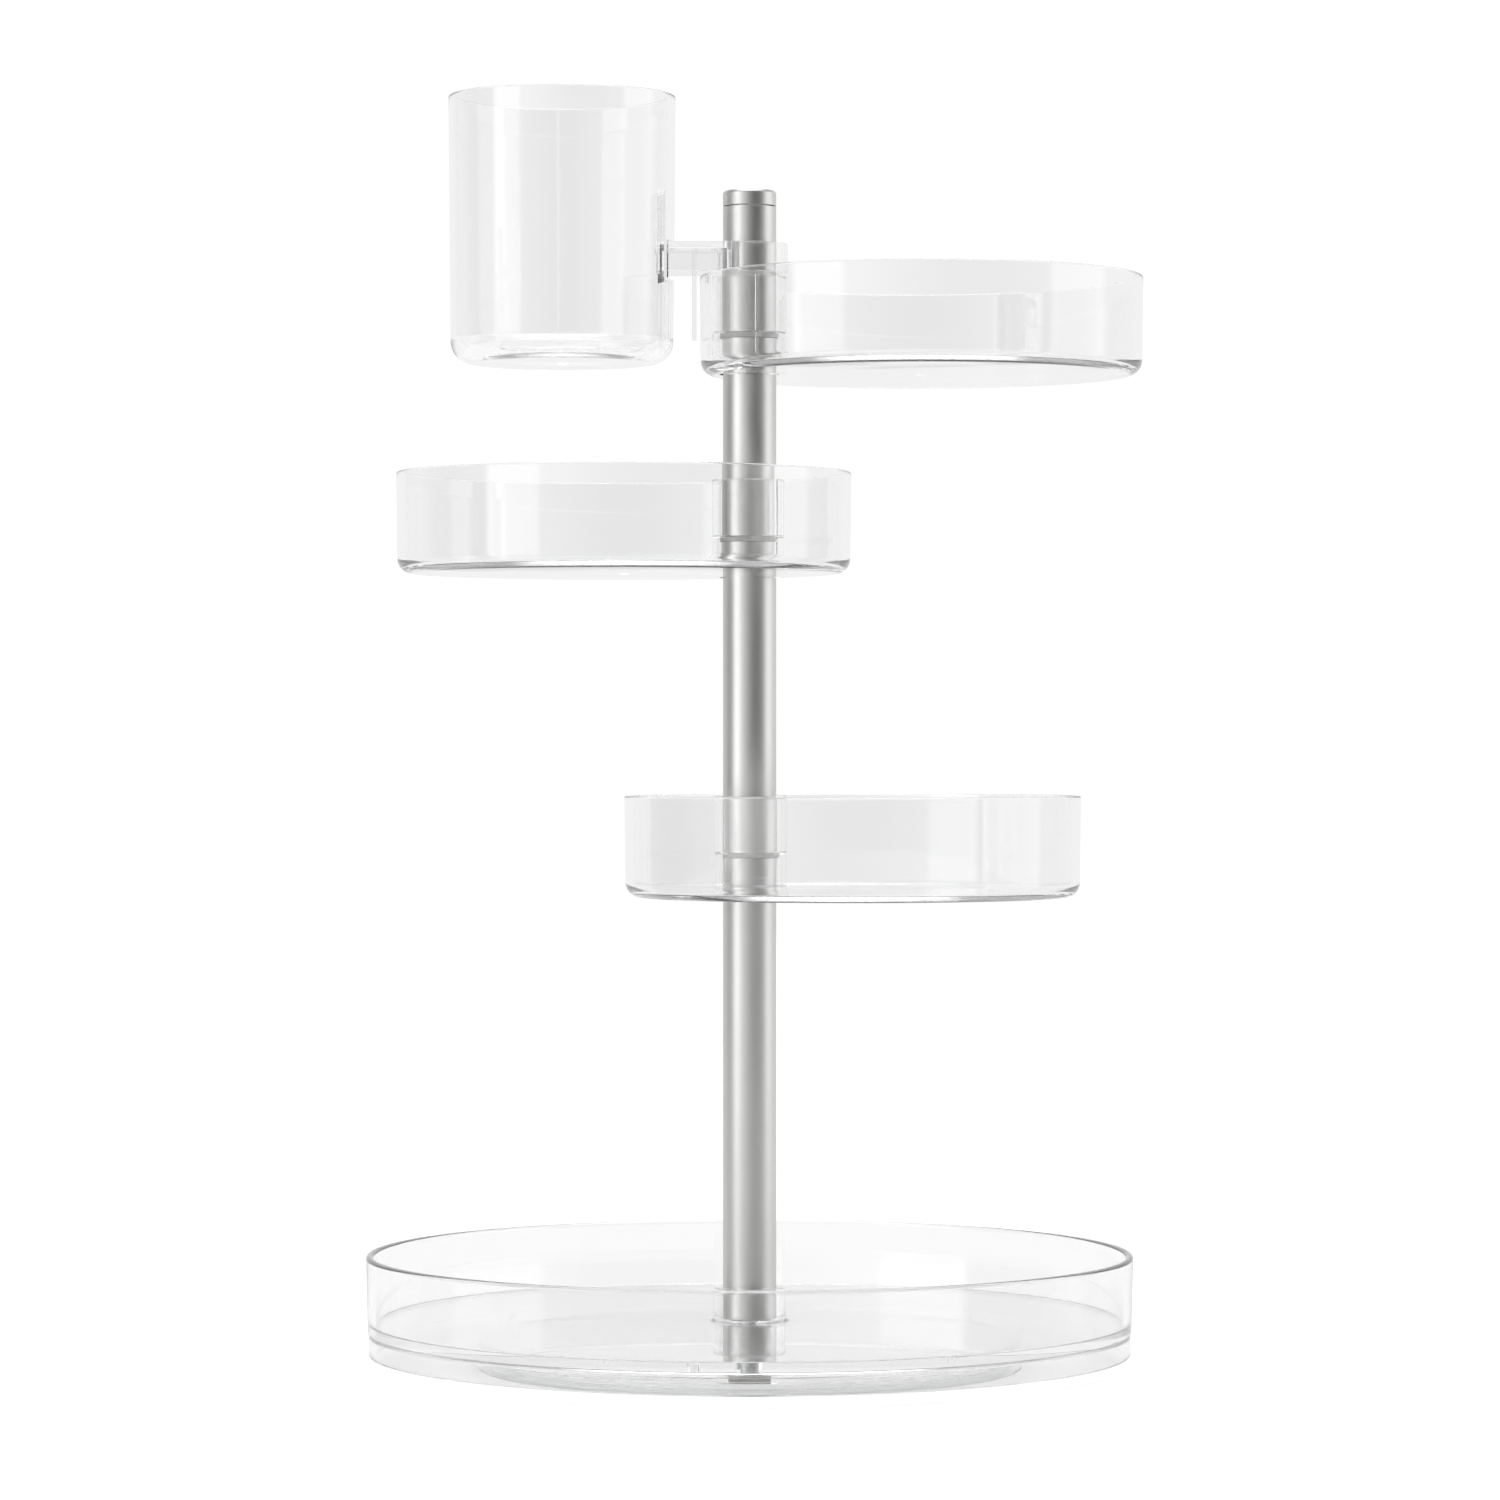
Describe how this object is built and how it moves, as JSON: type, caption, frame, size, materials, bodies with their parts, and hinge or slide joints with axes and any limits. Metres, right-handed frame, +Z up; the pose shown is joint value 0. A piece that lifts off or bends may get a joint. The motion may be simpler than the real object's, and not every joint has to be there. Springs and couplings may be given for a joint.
{
  "type": "tiered turntable organiser",
  "caption": "Clear plastic lazy susan with a round base tray, a satin metal pole, swinging round trays at staggered heights and a tall cup on a side arm.",
  "frame": {"origin": "on the pole's axis, at the underside of the cover in the middle of the foot, level with the foot's lowest edge", "axes": "+Z up along the pole; -X towards the cup at rest; -Y towards the front, where the lower and middle trays stand forward; +X is the upper tray's side"},
  "size_m": [0.2578, 0.254, 0.4203],
  "materials": {
    "clear_plastic": "clear polished styrene",
    "satin_nickel": "fine satin, lengthwise sheen",
    "aluminium_core": "as turned",
    "screw_steel": "zinc plated",
    "natural_nylon": "moulded, natural",
    "clear_silicone": "matt, translucent"
  },
  "bodies": {
    "foot": {"foot_disc": "clear_plastic", "foot_cover": "clear_plastic", "foot_grip_ring": "clear_silicone"},
    "base": {"base_tray": "clear_plastic", "pivot_bush": "natural_nylon", "clamp_screw": "screw_steel", "glide_1": "clear_plastic", "glide_2": "clear_plastic", "glide_3": "clear_plastic", "glide_4": "clear_plastic", "glide_5": "clear_plastic", "pole_tube_1": "satin_nickel", "pole_tube_2": "satin_nickel", "pole_tube_3": "satin_nickel", "pole_tube_4": "satin_nickel", "pole_foot_plug": "aluminium_core", "pole_cap": "satin_nickel", "lower_pole_stud": "aluminium_core", "lower_pole_washer": "natural_nylon", "lower_pole_plug": "aluminium_core", "middle_pole_stud": "aluminium_core", "middle_pole_washer": "natural_nylon", "middle_pole_plug": "aluminium_core", "upper_pole_stud": "aluminium_core", "upper_pole_washer": "natural_nylon", "upper_pole_plug": "aluminium_core"},
    "lower_swing_tray": {"lower_tray": "clear_plastic", "lower_tray_sleeve": "clear_plastic"},
    "middle_swing_tray": {"middle_tray": "clear_plastic", "middle_tray_sleeve": "clear_plastic"},
    "upper_swing_tray": {"upper_tray": "clear_plastic", "upper_tray_sleeve": "clear_plastic"},
    "side_cup": {"cup_arm": "clear_plastic", "cup": "clear_plastic"}
  },
  "joints": [
    {"name": "base_spin", "type": "hinge", "parent": "foot", "child": "base", "pos_m": [0, 0, 0.0059], "axis": [0, 0, 1], "continuous": true},
    {"name": "lower_tray_swing", "type": "hinge", "parent": "base", "child": "lower_swing_tray", "pos_m": [0, 0, 0.1696], "axis": [0, 0, 1], "continuous": true},
    {"name": "middle_tray_swing", "type": "hinge", "parent": "base", "child": "middle_swing_tray", "pos_m": [0, 0, 0.2742], "axis": [0, 0, 1], "continuous": true},
    {"name": "upper_tray_swing", "type": "hinge", "parent": "base", "child": "upper_swing_tray", "pos_m": [0, 0, 0.3415], "axis": [0, 0, 1], "continuous": true},
    {"name": "cup_swing", "type": "hinge", "parent": "upper_swing_tray", "child": "side_cup", "pos_m": [0, 0, 0.3617], "axis": [0, 0, 1], "range_deg": [-6, 17]}
  ]
}
